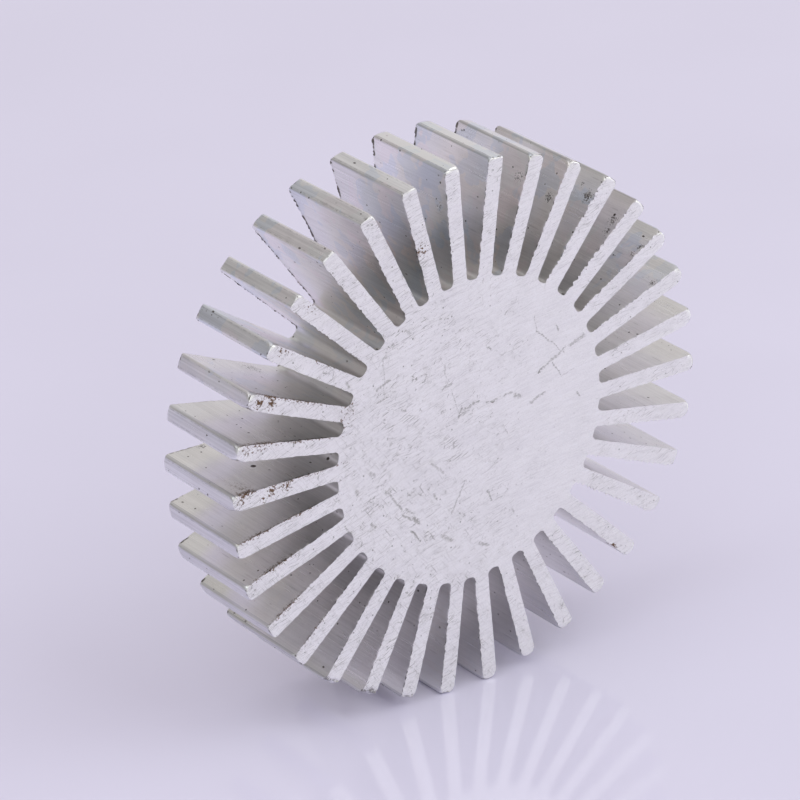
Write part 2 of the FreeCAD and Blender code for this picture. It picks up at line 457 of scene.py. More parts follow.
class StudioSettings(bpy.types.PropertyGroup):
    """The table, the lamps and the camera."""

    table_colour: colour_setting("Table", "Pale glossy table", (0.66, 0.63, 0.775))
    backdrop_colour: colour_setting(
        "Backdrop", "What the camera and the metal see above the table", (0.69, 0.66, 0.79)
    )
    left_sky_colour: colour_setting(
        "Backdrop, high up on the left",
        "The backdrop's darker upper part, which only the metal sees",
        (0.305, 0.292, 0.275),
    )
    right_sky_colour: colour_setting(
        "Backdrop, high up on the right",
        "The backdrop's paler upper part, which only the metal sees",
        (0.765, 0.74, 0.745),
    )
    ambient_colour: colour_setting(
        "Ambient light",
        "The soft light that falls on the table from all round",
        (0.735, 0.705, 0.715),
    )
    front_power: power_setting("Front lamp", "The high lamp in front, on the right", 4.2)
    left_power: power_setting("Left lamp", "The high lamp on the left", 4.8)
    right_power: power_setting("Right lamp", "The low lamp on the right", 5.5)
    low_power: power_setting("Low lamp", "The low lamp behind the camera", 3.75)


def even_turn(start, end, steps):
    """Directions (cos t, sin t), with t in even steps from one direction to another."""
    angles = np.linspace(math.atan2(*start[::-1]), math.atan2(*end[::-1]), steps + 1)
    return np.stack([np.cos(angles), np.sin(angles)], axis=1)


def half_outline(sizes):
    """Half of a fin's outline, from the corner of its tip to the middle of a slot.

    Each round is its centre plus its radius times (cos t, sin t), with t in even steps.
    The flank is straight between them. The slot's floor is the level line at the core
    radius, square to the slot's own direction, half a pitch away from the fin's. The
    result holds the points (u, v), the outward normals and each point's kind: 0 for the
    tip corner, 1 for the flank, 2 for the root and 3 for the floor.
    """
    pitch = math.pi / sizes.fin_count
    core = sizes.core_diameter / 2 / MM
    tip = sizes.tip_diameter / 2 / MM
    root_radius = sizes.root_radius / MM
    corner_radius = sizes.corner_radius / MM
    slot = np.array([math.cos(pitch), math.sin(pitch)])
    inner = np.array([core, sizes.root_thickness / 2 / MM])
    outer = np.array([tip, sizes.tip_thickness / 2 / MM])
    along = (outer - inner) / np.linalg.norm(outer - inner)
    normal = np.array([-along[1], along[0]])
    reach = inner @ normal
    root = np.linalg.solve(
        np.stack([slot, normal]), [core + root_radius, reach + root_radius]
    )
    beside = reach - corner_radius
    corner = normal * beside + along * math.sqrt((tip - corner_radius) ** 2 - beside**2)

    def straight(start, end, steps):
        share = np.linspace(0, 1, steps + 1)[1:, None]
        return start * (1 - share) + end * share

    corner_turn = even_turn(corner, normal, TIP_STEPS)
    root_turn = even_turn(-normal, -slot, ROOT_STEPS)[1:]
    points = np.concatenate([
        corner + corner_turn * corner_radius,
        straight(corner + normal * corner_radius, root - normal * root_radius, FLANK_STEPS),
        root + root_turn * root_radius,
        straight(root - slot * root_radius, slot * core, FLOOR_STEPS),
    ])
    normals = np.concatenate([
        corner_turn,
        np.tile(normal, (FLANK_STEPS, 1)),
        -root_turn,
        np.tile(slot, (FLOOR_STEPS, 1)),
    ])
    kinds = np.repeat([0, 1, 2, 3], [TIP_STEPS + 1, FLANK_STEPS, ROOT_STEPS, FLOOR_STEPS])
    return points, normals, kinds


def fin_outline(sizes):
    """One fin's whole outline, clockwise from the slot on its left.

    It is the half outline mirrored, then the tip's land, which is an arc of the tip
    circle, then the half outline again without its last point, which is the next fin's
    first.
    """
    points, normals, kinds = half_outline(sizes)
    flip = np.array([1, -1])
    tip = sizes.tip_diameter / 2 / MM
    land_normals = even_turn(points[0] * flip, points[0], ACROSS_STEPS)[1:-1]
    return (
        np.concatenate([points[::-1] * flip, land_normals * tip, points[:-1]]),
        np.concatenate([normals[::-1] * flip, land_normals, normals[:-1]]),
        np.concatenate([kinds[::-1], np.zeros(ACROSS_STEPS - 1, int), kinds[:-1]]),
    )


def fin_angles(sizes):
    """Each fin's direction, clockwise from straight up as the camera sees it."""
    step = 2 * math.pi / sizes.fin_count
    return (np.arange(sizes.fin_count) - 1.5) * step


def to_part(fin, u, v, sizes):
    """The part's x and z of points on the fins: the fin's own axes turned by its angle."""
    angle = fin_angles(sizes)[fin]
    return u * np.sin(angle) + v * np.cos(angle), u * np.cos(angle) - v * np.sin(angle)


def to_fin(fin, x, z, sizes):
    """The reverse of to_part: u and v of points of the part."""
    angle = fin_angles(sizes)[fin]
    return x * np.sin(angle) + z * np.cos(angle), x * np.cos(angle) - z * np.sin(angle)


def ragged(rng, shape, passes):
    """Random values whose neighbours agree: noise averaged with its neighbours along the
    last axis, which is closed, a number of times, then scaled to unit spread."""
    values = rng.standard_normal(shape)
    for _ in range(passes):
        values = (np.roll(values, 1, -1) + 2 * values + np.roll(values, -1, -1)) / 4
    return values / values.std()


def ladder(first, base, fins, per_fin, half, depth):
    """Point numbers of the grid that fills the sawn face of every fin.

    Row 0 is the tip's land. Row r joins the outline's r-th point left of the land to the
    r-th point right of it, and the points between the two are numbered from first.
    """
    fin = np.arange(fins)[:, None, None]
    row = np.arange(depth + 1)[None, :, None]
    column = np.arange(ACROSS_STEPS + 1)[None, None, :]
    inside = first + (fin * depth + row - 1) * (ACROSS_STEPS - 1) + column - 1
    start = base + fin * per_fin + half
    grid = np.where(column == 0, start - row, inside)
    grid = np.where(column == ACROSS_STEPS, start + ACROSS_STEPS + row, grid)
    return np.where(row == 0, start + column, grid)


def quads(grid):
    """The quads between neighbours of a grid of point numbers: down, then across."""
    corners = (grid[:-1, :-1], grid[1:, :-1], grid[1:, 1:], grid[:-1, 1:])
    return np.stack(corners, axis=-1).reshape(-1, 4)


def closed(grid):
    """The same grid with its first column repeated as its last."""
    return np.concatenate([grid, grid[:, :1]], axis=1)


def blade_wave(x, z):
    """How deep the saw blade's wave lies below the plane of a sawn face: a sine of the
    distance from the blade's centre, never above zero."""
    turns = np.hypot(x - BLADE_X, z - BLADE_Z) / BLADE_WAVE
    slow = np.sin(turns * SLOW_WAVE[0] + SLOW_WAVE[1])
    return BLADE_DEPTH * (2 + np.sin(turns * 2 * math.pi) + slow)


def per_fin_values(listed, usual, fins):
    """One number for every fin: the listed one, or else the usual one."""
    return np.array([listed.get(number, usual) for number in range(fins)])


def in_range(fin, row):
    """Which points are on the fins from one to before the other of a row's first two."""
    return (fin >= row[0]) & (fin < row[1])


class Slice:
    """Every point of the sawn slice, with its fin and its u, v and y on that fin.

    The outline of all fins is carried along Y in rows that crowd at both sawn faces. Each
    sawn face is a ladder of quads across every fin, then rings round the core that
    shrink to one point. Each step below then moves those points a little.
    """

    def __init__(self, sizes):
        self.sizes = sizes
        self.rng = np.random.default_rng(SEED)
        self.fins = sizes.fin_count
        self.core = sizes.core_diameter / 2 / MM
        self.tip = sizes.tip_diameter / 2 / MM
        self.half_tip = sizes.tip_thickness / 2 / MM
        self.end = sizes.cut_length / 2 / MM
        self.outline, self.normals, kinds = fin_outline(sizes)
        self.kind = np.tile(kinds, self.fins)
        self.count = len(self.kind)
        edge = np.array(EDGE_ROWS)
        self.rows = np.concatenate([edge - self.end, [0.0], self.end - edge[::-1]])
        self.fin = np.zeros(0, int)
        self.u = self.v = self.y = np.zeros(0)

        row_count = len(self.rows)
        side = np.repeat(np.arange(self.fins), len(self.outline))
        self.add(np.tile(side, row_count), *np.tile(self.outline.T, self.fins * row_count),
                 np.repeat(self.rows, self.count))
        grid = np.arange(self.count * row_count).reshape(row_count, self.count)
        self.faces = [quads(closed(grid).T)]
        self.tris = []
        self.lay_sawn_face(-self.end, grid[0, 0], FRONT_RINGS)
        self.lay_sawn_face(self.end, grid[-1, 0], BACK_RINGS)
        self.first_u, self.first_v, self.first_y = self.u, self.v, self.y
        self.across = self.v / self.half_tip
        self.height = (self.u - self.core - HEIGHT_FROM) / (self.tip - self.core - HEIGHT_FROM)
        self.height = np.clip(self.height, 0, 1)

    def add(self, fin, u, v, y):
        """Add points, and give the number of the first one."""
        first = len(self.u)
        self.fin = np.concatenate([self.fin, fin])
        self.u = np.concatenate([self.u, u])
        self.v = np.concatenate([self.v, v])
        self.y = np.concatenate([self.y, np.broadcast_to(y, len(u))])
        return first

    def lay_sawn_face(self, y, base, rings):
        """Fill one sawn face, inside the row of the side whose first point is given."""
        per_fin = len(self.outline)
        half = FLOOR_STEPS + ROOT_STEPS + FLANK_STEPS + TIP_STEPS
        depth = TIP_STEPS + FLANK_STEPS
        share = np.arange(1, ACROSS_STEPS) / ACROSS_STEPS
        right = self.outline[half + ACROSS_STEPS + 1:half + ACROSS_STEPS + depth + 1]
        u = np.repeat(right[:, 0], ACROSS_STEPS - 1)
        v = (right[:, 1][:, None] * (2 * share - 1)).ravel()
        first = self.add(np.repeat(np.arange(self.fins), len(u)), np.tile(u, self.fins),
                         np.tile(v, self.fins), y)
        grid = ladder(first, base, self.fins, per_fin, half, depth)

        left = np.arange(half - depth + 1)
        right = np.arange(half + ACROSS_STEPS + depth, per_fin)
        starts = base + np.arange(self.fins)[:, None] * per_fin
        loop = np.concatenate([starts + left, grid[:, -1, 1:-1], starts + right], axis=1)
        ring_fin = np.tile(np.repeat(np.arange(self.fins), loop.shape[1]), rings)
        loop = loop.ravel()
        x, z = to_part(self.fin[loop], self.u[loop], self.v[loop], self.sizes)
        angle = np.arctan2(x, z)
        radii = self.core * RING_SHARE * np.linspace(1, 0, rings + 1)[:-1, None]
        u, v = to_fin(ring_fin, (radii * np.sin(angle)).ravel(),
                      (radii * np.cos(angle)).ravel(), self.sizes)
        first = self.add(ring_fin, u, v, y)
        pole = self.add([0], [0.0], [0.0], y)
        ring_grid = np.arange(first, pole).reshape(rings, -1)
        last = ring_grid[-1]
        pole_tris = np.stack([last, np.full(len(last), pole), np.roll(last, -1)], axis=1)
        cap = np.concatenate([
            *(quads(grid[number]) for number in range(self.fins)),
            quads(closed(np.concatenate([loop[None], ring_grid]))),
        ])
        self.faces.append(cap if y < 0 else cap[:, ::-1])
        self.tris.append(pole_tris if y < 0 else pole_tris[:, ::-1])

    def uneven(self, usual, spread, least, most, passes=0, more=0):
        """A ragged value for each point of a row of the side, within two limits."""
        values = usual + spread * ragged(self.rng, self.count, passes) + more
        return np.clip(values, least, most)

    def move_side(self, du, dv):
        """Move the points of the side, given as one row of values for each of its rows."""
        side = slice(0, du.size)
        self.u, self.v = self.u.copy(), self.v.copy()
        self.u[side] += du.ravel()
        self.v[side] += np.ravel(dv)

    def stretch(self):
        """Fins of uneven length: each is stretched by its share of the height."""
        longer = per_fin_values(REACHING, 0.0, self.fins)[self.fin]
        self.reach = self.tip + longer
        self.u = self.u + longer * self.height

    def raise_burr(self):
        """The saw's burr: a lip pushed sideways over both sawn edges where the flank looks
        back at the blade, ragged along the edge and gone a third of a millimetre inside."""
        normal_u, normal_v = np.tile(self.normals.T, self.fins)
        fin = self.fin[:self.count]
        looks_x, _ = to_part(fin, normal_u, normal_v, self.sizes)
        self.lip = np.clip(BURR_TURN - looks_x, 0, 1) * (self.kind > 0) * normal_v**2
        near = self.end - np.abs(self.rows)[:, None]
        fade = np.interp(near, EDGE_ROWS[:len(BURR_ROWS)], BURR_ROWS)
        coarse = np.where(in_range(fin, COARSE_BURR), COARSE_BURR[2], 1)
        front = self.uneven(*FRONT_BURR) * coarse
        back = self.uneven(*BACK_BURR)
        wear = EDGE_WEAR * ragged(self.rng, self.count, 1)
        wear = np.where(self.kind > 0, wear, -np.abs(wear)) - EDGE_SUNK
        push = np.where(self.rows[:, None] < 0, front, back) * self.lip
        push = (push * self.sizes.burr / MM + wear) * fade
        self.move_side(push * normal_u, push * normal_v)

    def wear_lands(self):
        """The lands lost a little metal here and there."""
        lost = np.abs(ragged(self.rng, (len(self.rows), self.count), 3))
        self.move_side(-lost * LAND_WEAR * (self.kind == 0), np.zeros(lost.shape))

    def press(self, normal, corner, more, chosen=True):
        """Press what stands past a plane back to it, and give how far that was.

        The plane's normal is given along u, v and y. The plane lies further in than a
        corner, given as v and y at the end of each fin, by as much as more says.
        """
        out, aside, off = normal
        past = (self.u - self.reach) * out + (self.v - corner[0]) * aside
        past = past + (self.y - corner[1]) * off + more
        past = np.where(chosen, np.maximum(past, 0), 0)
        self.u = self.u - past * out
        self.v = self.v - past * aside
        self.y = self.y - past * off
        return past

    def wear_ends(self):
        """Worn ends of the tips: two sloping planes cut each, and more so at the two
        corners of the land."""
        self.rough = ragged(self.rng, len(self.u), 0)
        front_worn = self.rng.uniform(*WORN_FRONT, self.fins)
        front_worn[slice(*WORN_RIGHT[:2])] += WORN_RIGHT[2]
        back_worn = self.rng.uniform(*WORN_BACK, self.fins)
        bowed = WORN_BOW[0] + WORN_BOW[1] * self.across**2
        for side, worn in ((-1, front_worn), (1, back_worn)):
            radius = worn[self.fin] * bowed + WORN_ROUGH * self.rough
            for slope in np.radians(WORN_SLOPES):
                out, off = math.sin(slope), math.cos(slope)
                self.press((out, 0, off * side), (0, self.end * side), radius * (out + off - 1))

    def wear_corners(self):
        """Worn corners of the front sawn face: three planes cut each one of them."""
        worn = self.rng.uniform(*WORN_CORNER, (2, self.fins))
        for first, last, more in (WORN_RIGHT, WORN_LEFT):
            worn[:, first:last] += more
        for side, by_fin in zip((-1, 1), worn):
            for slope in np.radians(WORN_CORNER_SLOPES):
                out, aside = math.sin(slope) * CORNER_SLANT, math.cos(slope) * CORNER_SLANT
                off = -math.sqrt(1 - out**2 - aside**2)
                more = by_fin[self.fin] * (out + aside - CORNER_INSIDE)
                self.press((out, aside * side, off), (self.half_tip * side, -self.end),
                           more + CORNER_ROUGH * self.rough)

    def knock(self):
        """Knocked corners: one sloping plane presses each of them flat."""
        self.crush = np.zeros(len(self.u))
        for number, deep, slope, tilt, uneven, dirt in KNOCKED:
            slope, turn = math.radians(slope), math.radians(tilt)
            normal = (math.sin(slope) * math.cos(turn), math.sin(turn),
                      -math.cos(slope) * math.cos(turn))
            wave = np.sin(self.first_v * KNOCK_WAVE[1] + number) * KNOCK_WAVE[0]
            past = self.press(normal, (np.sign(tilt) * self.half_tip, -self.end),
                              deep + uneven * (KNOCK_ROUGH * self.rough + wave),
                              self.fin == number)
            dirty = np.clip(past / KNOCK_DIRTY, KNOCK_LEAST, 1) * dirt
            self.crush = np.where(past > 0, dirty, self.crush)

    def cut_waves(self):
        """The waves of the blade, on both sawn faces."""
        wave = blade_wave(*to_part(self.fin, self.first_u, self.first_v, self.sizes))
        sawn = np.abs(self.first_y) == self.end
        self.y = self.y - np.where(sawn, np.sign(self.first_y) * wave, 0)

    def lean(self):
        """Leaning fins: a sideways shift that grows smoothly between two heights."""
        slight = self.rng.uniform(-SLIGHT_LEAN, SLIGHT_LEAN, self.fins)
        self.v = self.v + slight[self.fin] * self.height**2
        for number, shift, low, high in LEANING:
            bent = np.clip((self.height - low) / (high - low), 0, 1)
            bent = bent * bent * (3 - 2 * bent)
            self.v = self.v + np.where(self.fin == number, shift * bent, 0)

    def stain(self):
        """The strongest of the listed stains at each point: a bell curve of the distance
        from each stain's middle, measured in that stain's own reaches."""
        strength = np.zeros(len(self.u))
        for number, u, v, reach_u, reach_v, reach_y, power in STAINS:
            far = ((self.first_u - u) / reach_u) ** 2 + ((self.first_v - v) / reach_v) ** 2
            far = far + ((self.first_y + self.end) / reach_y) ** 2
            bell = np.where(self.fin == number, power * np.exp(-far), 0)
            strength = np.maximum(strength, bell)
        return strength

    def rim(self):
        """Dark dashes under the burr along both sawn edges of the flanks, which are painted
        shadow and dirt, and the dark edges of the lands, which are painted shade."""
        near = self.end - np.abs(self.rows)[:, None]
        under = np.interp(near, EDGE_ROWS[:len(RIM_ROWS)], RIM_ROWS)
        # Painted shadow and dirt under the burr, in dashes along both sawn edges of the flanks.
        crowded = CROWDING * ragged(self.rng, self.count, CROWD_PASSES)
        front = self.uneven(*FRONT_DASH, more=crowded) * self.lip
        back = self.uneven(*BACK_DASH, passes=1, more=crowded)
        back = back * (1 - UNDER_BURR + UNDER_BURR * self.lip)
        # Painted shade along the front and back edges of every land.
        worn = self.uneven(*LAND_EDGE_SHADE) * (self.kind == 0)
        # Painted shade along the front edge of the listed lands, darker towards the right.
        outlined = np.clip(OUTLINED_FROM + self.across[:self.count], 0, 1) * OUTLINED[2]
        outlined = outlined * in_range(self.fin[:self.count], OUTLINED) * (self.kind == 0)
        front = front * (self.kind > 0) + worn + outlined
        back = back * (self.kind > 0) + worn
        dark = np.zeros(len(self.u))
        side = np.where(self.rows[:, None] < 0, front, back) * under
        dark[:side.size] = side.ravel()
        return dark

    def profile(self):
        """The unrolled profile: distance round the outline, and y. A sawn face has x and z.
        It gives one pair for every corner of every face."""
        x, z = to_part(self.fin, self.first_u, self.first_v, self.sizes)
        closing = np.concatenate([np.arange(self.count), [0]])
        step = np.hypot(np.diff(x[closing]), np.diff(z[closing]))
        round_it = np.concatenate([[0], np.cumsum(step)])
        along = np.stack([round_it[:-1], round_it[1:], round_it[1:], round_it[:-1]], axis=1)
        along = np.repeat(along, len(self.rows) - 1, axis=0)
        lows = np.tile(self.rows[:-1], self.count)
        highs = np.tile(self.rows[1:], self.count)
        side = np.stack([along, np.stack([lows, lows, highs, highs], axis=1)], axis=2)
        corners = np.concatenate([part.ravel() for part in self.faces[1:] + self.tris])
        flat = np.stack([x, z], axis=1)[corners]
        return np.concatenate([side.reshape(-1, 2), flat]) * MM

    def material(self):
        """Material numbers of the faces: sawn face, extruded skin and tip land."""
        side = np.repeat(np.where(self.kind == 0, 2, 1), len(self.rows) - 1)
        sawn = sum(len(part) for part in self.faces[1:] + self.tris)
        return np.concatenate([side, np.zeros(sawn, int)])


def heat_sink_surface(sizes):
    """The whole surface of the heat sink as one closed mesh.

    It is a slice of the profile, moved step by step by the burr, the wear, the knocks and
    the leaning fins. The result holds points, quads and triangles, their material
    numbers, their corners on the unrolled profile, and what the finishes read at each
    point.
    """
    body = Slice(sizes)
    for step in (body.stretch, body.raise_burr, body.wear_lands, body.wear_ends,
                 body.wear_corners, body.knock, body.cut_waves, body.lean):
        step()
    x, z = to_part(body.fin, body.u, body.v, sizes)
    return {
        "points": np.clip(np.stack([x, body.y, z], axis=1) * MM, CAD_LOW, CAD_HIGH),
        "quads": np.concatenate(body.faces),
        "tris": np.concatenate(body.tris),
        "material": body.material(),
        "profile": body.profile(),
        "marks": {
            "stain": body.stain(),
            "crush": body.crush,
            "height": body.height,
            "across": body.across,
            "rim": body.rim(),
            "tone": per_fin_values(TONES, 1.0, body.fins)[body.fin],
        },
    }


def put_mesh(name, surface):
    """Make a mesh object of a computed surface, at the origin, unturned and unscaled."""
    mesh = bpy.data.meshes.new(name)
    faces = surface["quads"].tolist() + surface["tris"].tolist()
    mesh.from_pydata(surface["points"].tolist(), [], faces)
    mesh.polygons.foreach_set("material_index", surface["material"].astype(np.int32))
    mesh.polygons.foreach_set("use_smooth", np.ones(len(faces), bool))
    mesh.uv_layers.new(name="profile")
    mesh.uv_layers["profile"].data.foreach_set("uv", surface["profile"].ravel())
    for title, values in surface["marks"].items():
        mesh.attributes.new(title, "FLOAT", "POINT")
        mesh.attributes[title].data.foreach_set("value", values)
    mesh.set_sharp_from_angle(angle=math.radians(38))
    mesh.validate()
    mesh.update()
    piece = bpy.data.objects.new(name, mesh)
    bpy.context.scene.collection.objects.link(piece)
    return piece


class Value:
    """What a node gives out. It adds, subtracts and multiplies as a number does, each time
    with one Math node."""

    def __init__(self, mix, socket):
        self.mix = mix
        self.socket = socket

    def __add__(self, other):
        return self.mix.calc("ADD", self, other)

    def __sub__(self, other):
        return self.mix.calc("SUBTRACT", self, other)

    def __rsub__(self, other):
        return self.mix.calc("SUBTRACT", other, self)

    def __mul__(self, other):
        return self.mix.calc("MULTIPLY", self, other)


class Recipe:
    """Short calls that add nodes to the tree of a material or a world and wire them up."""

    def __init__(self, owner, output):
        owner.use_nodes = True
        self.tree = owner.node_tree
        self.tree.nodes.clear()
        self.surface = self.add(output).inputs["Surface"]

    def add(self, kind, **settings):
        """Add a node and set its plain settings."""
        node = self.tree.nodes.new(kind)
        for key, value in settings.items():
            setattr(node, key, value)
        return node

    def wire(self, source, socket):
        """Link a node's output to a socket, or write a plain value into the socket."""
        if isinstance(source, Value):
            self.tree.links.new(source.socket, socket)
        elif isinstance(source, tuple) and socket.type == "RGBA":
            socket.default_value = (*source, 1)
        else:
            socket.default_value = source

    def node(self, kind, inputs, output, **settings):
        """Add a node, fill its sockets by number or name, and give one of its outputs."""
        node = self.add(kind, **settings)
        for key, value in inputs.items():
            self.wire(value, node.inputs[key])
        return Value(self, node.outputs[output])

    def calc(self, operation, *values, clamp=False):
        """One Math node."""
        return self.node("ShaderNodeMath", dict(enumerate(values)), 0,
                         operation=operation, use_clamp=clamp)

    def larger(self, one, other):
        """The larger of two values."""
        return self.calc("MAXIMUM", one, other)

    def strongest(self, values):
        """The largest of several values, each compared as soon as its nodes are made, so
        that few of them are held at a time."""
        best = None
        for value in values:
            best = value if best is None else self.larger(best, value)
        return best

    def vector(self, operation, *values, output="Vector"):
        """One Vector Math node."""
        return self.node("ShaderNodeVectorMath", dict(enumerate(values)), output,
                         operation=operation)

    def length(self, value):
        """The length of a vector."""
        return self.vector("LENGTH", value, output="Value")

    def spread(self, value, low, high, to_low=0.0, to_high=1.0, shape="SMOOTHSTEP"):
        """Map a value from one range to another, smoothly and clamped."""
        inputs = {"Value": value, "From Min": low, "From Max": high,
                  "To Min": to_low, "To Max": to_high}
        return self.node("ShaderNodeMapRange", inputs, "Result", interpolation_type=shape)

    def sway(self, noise, to_low, to_high):
        """Map the usual range of a noise to another range."""
        return self.spread(noise, 0.3, 0.7, to_low, to_high)

    def noise(self, vector, scale, detail=3.0, roughness=0.55, distortion=0.0, output="Fac"):
        """One Noise Texture; scale counts waves in a unit of the vector."""
        inputs = {"Vector": vector, "Scale": scale, "Detail": detail,
                  "Roughness": roughness, "Distortion": distortion}
        return self.node("ShaderNodeTexNoise", inputs, output)

    def lines(self, one, other, waves, layer=0.0, detail=3.0, roughness=0.55):
        """Noise drawn out into lines: so many waves in a millimetre one way and the other.
        Each layer is another part of the noise."""
        place = self.combine(one * waves[0], other * waves[1], layer)
        return self.noise(place, 1.0, detail, roughness)

    def cells(self, vector, scale):
        """One flat Voronoi Texture: distance to the nearest cell point, and its colour as
        three random numbers."""
        near = self.node("ShaderNodeTexVoronoi", {"Vector": vector, "Scale": scale},
                         "Distance", voronoi_dimensions="2D")
        return near, *self.separate(Value(self, near.socket.node.outputs["Color"]))

    def combine(self, x, y, z=0.0):
        """A vector of three numbers."""
        return self.node("ShaderNodeCombineXYZ", {0: x, 1: y, 2: z}, 0)

    def separate(self, vector):
        """The three numbers of a vector."""
        node = self.add("ShaderNodeSeparateXYZ")
        self.wire(vector, node.inputs[0])
        return tuple(Value(self, socket) for socket in node.outputs)

    def blend(self, share, one, other, kind="MIX"):
        """Mix two colours."""
        return self.node("ShaderNodeMix", {0: share, 6: one, 7: other}, 2,
                         data_type="RGBA", blend_type=kind)

    def scale_colour(self, colour, amount):
        """Multiply a colour by a number."""
        return self.blend(1.0, colour, self.combine(amount, amount, amount), "MULTIPLY")

    def attribute(self, name):
        """One of the piece's own numbers."""
        return self.node("ShaderNodeAttribute", {}, "Fac", attribute_name=name)

    def in_millimetres(self, metres):
        """A place in millimetres."""
        return self.vector("MULTIPLY", metres, (1 / MM, 1 / MM, 1 / MM))

    def part_place(self):
        """Object coordinates in millimetres."""
        return self.in_millimetres(self.node("ShaderNodeTexCoord", {}, "Object"))

    def profile_place(self):
        """The piece's own unrolled profile in millimetres."""
        return self.in_millimetres(self.node("ShaderNodeUVMap", {}, "UV", uv_map="profile"))

    def relief(self, *layers):
        """Bump nodes, one after the other: a height from 0 to 1 stands for a depth in
        millimetres."""
        normal = None
        for height, depth in layers:
            inputs = {"Height": height, "Strength": 1.0, "Distance": depth * MM}
            if normal is not None:
                inputs["Normal"] = normal
            normal = self.node("ShaderNodeBump", inputs, "Normal")
        return normal

    def warped(self, place, scale, amount):
        """The same coordinates pushed about by a slow noise, so that straight marks bend."""
        push = self.noise(place, scale, detail=2.0, roughness=0.5, output="Color")
        push = self.vector("SUBTRACT", push, (0.5, 0.5, 0.5))
        push = self.vector("MULTIPLY", push, (amount, amount, 0))
        return self.vector("ADD", place, push)

    def turned(self, flat, degrees, long=1, wide=1):
        """How far a point lies along a turned direction and across it, counted in a length
        and a width."""
        x, z, _ = self.separate(flat)
        cos, sin = math.cos(math.radians(degrees)), math.sin(math.radians(degrees))
        return x * (cos / long) + z * (sin / long), z * (cos / wide) - x * (sin / wide)

    def scratches(self, flat, degrees, waves, threshold, softness=0.10):
        """Short straight scratches one way: noise with so many waves in a millimetre along
        a turned direction and across it, cut off high, so that only its ridges stay."""
        run, rise = self.turned(flat, degrees)
        place = self.combine(run * waves[0], rise * waves[1], degrees)
        value = self.noise(place, 1.0, detail=2.0, roughness=0.5, distortion=0.15)
        return self.spread(value, threshold, threshold + softness)

    def flecks(self, flat, degrees, long, wide, share):
        """Separate short scratches one way: flat cells, long and narrow, of which a share
        holds one stroke each, no two of the same size or darkness."""
        run, rise = self.turned(flat, degrees, long, wide)
        near, chance, size, dark = self.cells(self.combine(run, rise), 1.0)
        edge = self.spread(size, 0.0, 1.0, 0.05, 0.24)
        stroke = self.spread(near, edge, edge * 0.45)
        kept = self.calc("LESS_THAN", chance, share)
        return stroke * kept * self.spread(dark, 0.0, 1.0, 0.35, 1.0)

    def dots(self, flat, scale, radii, over, dark=1.0):
        """Round dots: the middles of the flat cells whose random number is over a given
        one, no two of the same size."""
        near, chance, size, _ = self.cells(flat, scale)
        edge = self.spread(size, 0.0, 1.0, *radii)
        dot = self.spread(near, edge, edge * 0.5, 0.0, dark)
        return dot * self.calc("GREATER_THAN", chance, over)

    def stroke(self, flat, row, broken):
        """One mark: how near a point lies to a line's nearest point, broken up along it."""
        from_x, from_z, to_x, to_z, width, dark = row
        run = (to_x - from_x, to_z - from_z, 0)
        offset = self.vector("SUBTRACT", flat, (from_x, from_z, 0))
        share = self.calc("DIVIDE", self.vector("DOT_PRODUCT", offset, run, output="Value"),
                          run[0] ** 2 + run[1] ** 2, clamp=True)
        nearest = self.node("ShaderNodeVectorMath", {0: run, "Scale": share}, "Vector",
                            operation="SCALE")
        away = self.length(self.vector("SUBTRACT", offset, nearest))
        core = self.spread(away, 0.0, width, 0.40, 0.0)
        return self.spread(core + broken, 0.66, 0.94, 0.0, dark)

    def listed(self, place, rows, sizes):
        """How near a point lies to the listed spots: a round bell over each one's reach."""
        def bells():
            for number, u, v, y, reach, strength in rows:
                x, z = to_part(number, u, v, sizes)
                away = self.vector("DISTANCE", place, (x, y, z), output="Value")
                yield self.spread(away, 0.0, reach, strength, 0.0)

        return self.strongest(bells())


class Finish(Recipe):
    """The recipe of one material, which ends in one Principled shader."""

    def __init__(self, name):
        self.material = bpy.data.materials.new(name)
        super().__init__(self.material, "ShaderNodeOutputMaterial")
        self.shader = self.add("ShaderNodeBsdfPrincipled")
        self.wire(Value(self, self.shader.outputs["BSDF"]), self.surface)

    def done(self, values):
        """Fill the shader's sockets, and give the material."""
        for key, value in values.items():
            self.wire(value, self.shader.inputs[key])
        return self.material


